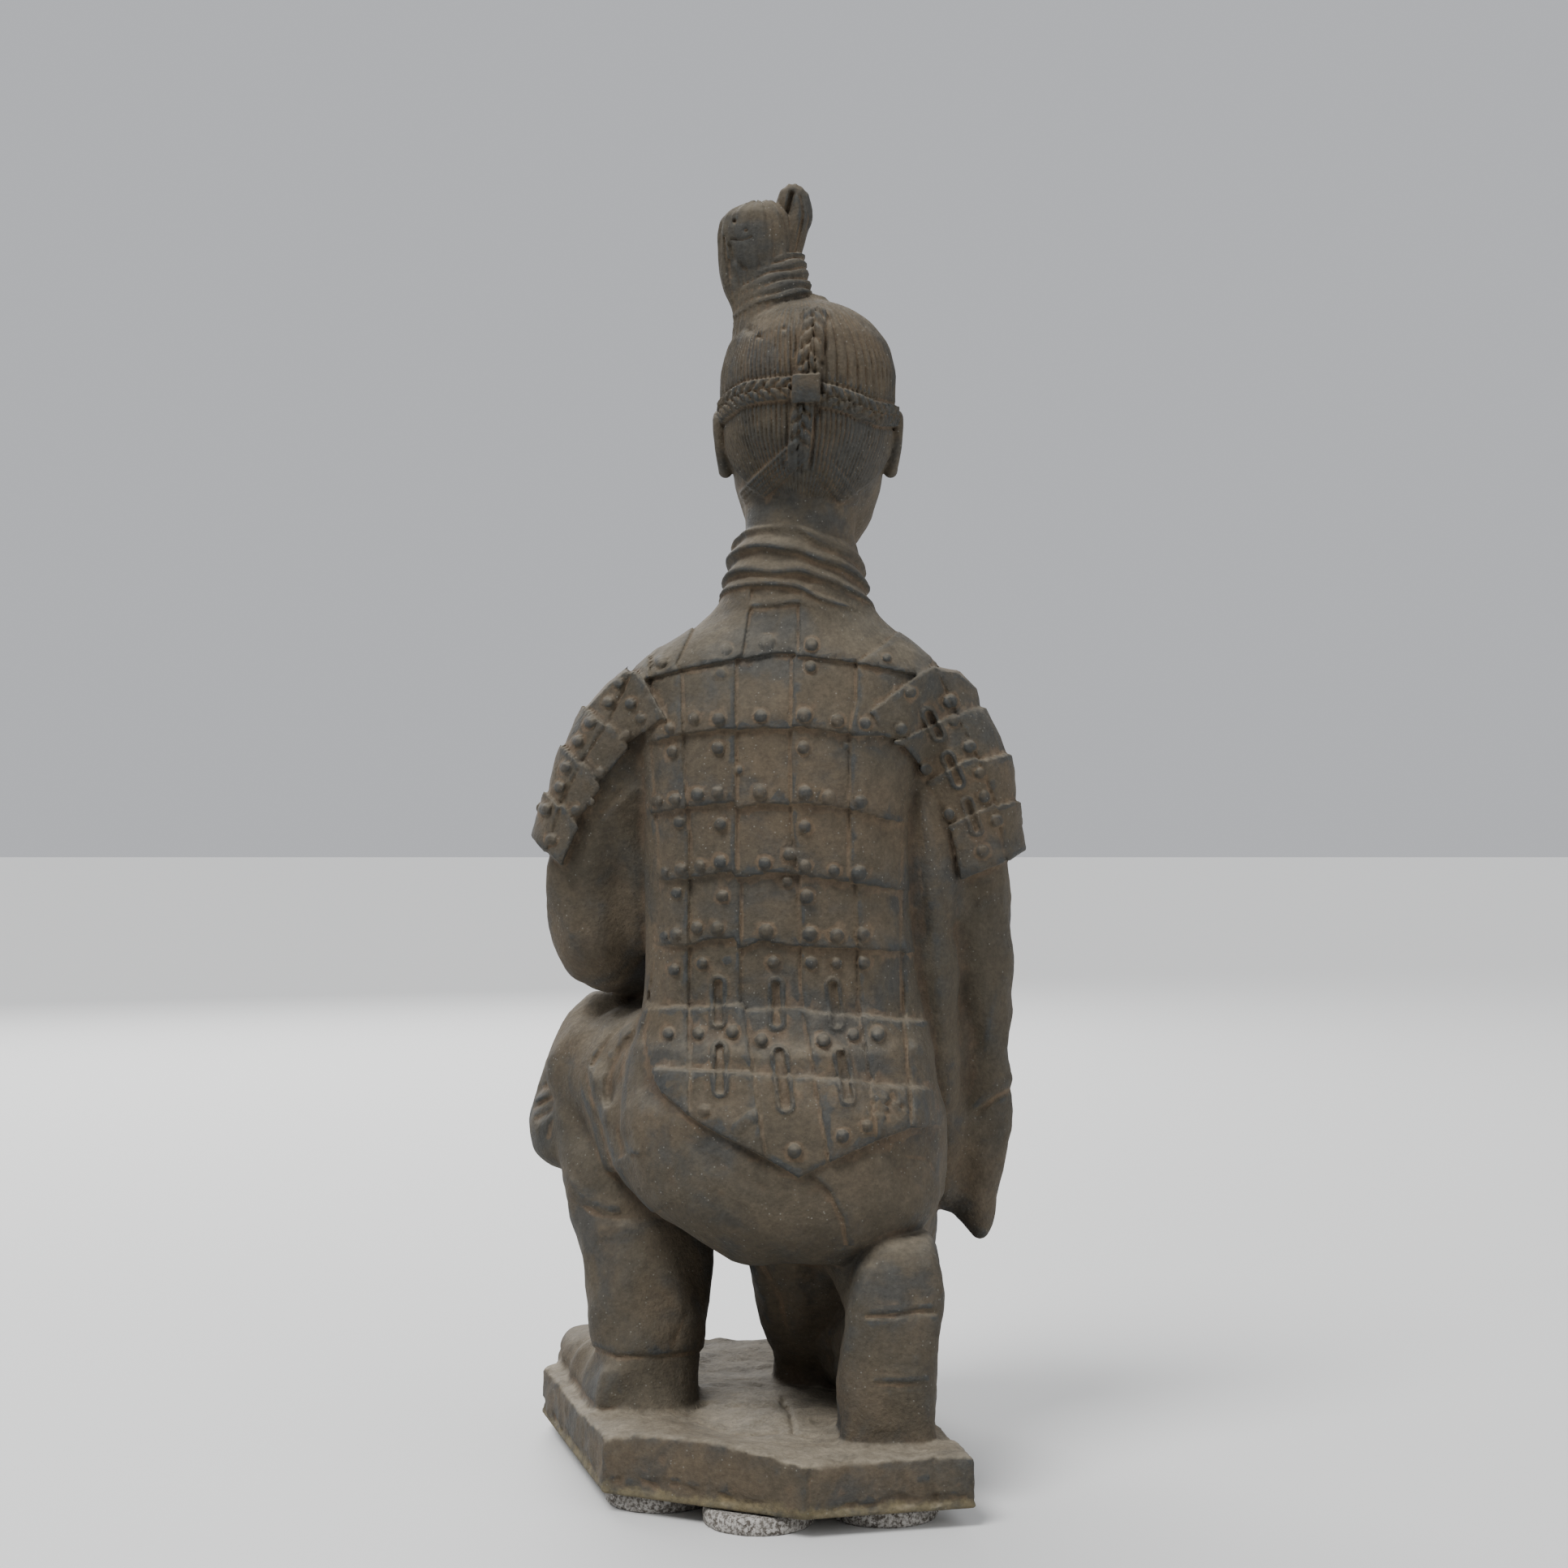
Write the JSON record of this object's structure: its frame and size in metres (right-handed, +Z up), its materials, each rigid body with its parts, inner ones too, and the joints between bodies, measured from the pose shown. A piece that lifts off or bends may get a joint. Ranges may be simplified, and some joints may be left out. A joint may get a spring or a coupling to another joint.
{
  "type": "kneeling warrior statue",
  "caption": "Small clay statue of a kneeling armoured warrior with a side topknot, cast in one with a low irregular plinth on round felt pads.",
  "frame": {"origin": "on the table, under the middle of the part's bounding box", "axes": "+Z up, the figure faces -Y, +X is to the figure's left"},
  "size_m": [0.095, 0.097, 0.2379],
  "materials": {
    "clay": "fired clay with a dusty grey-brown patina",
    "felt": "fuzzy grey felt"
  },
  "bodies": {
    "root": {"kneeling_warrior": "clay", "felt_pad_rear_centre": "felt", "felt_pad_rear_left": "felt", "felt_pad_rear_right": "felt", "felt_pad_front_left": "felt", "felt_pad_front_right": "felt"}
  },
  "joints": []
}
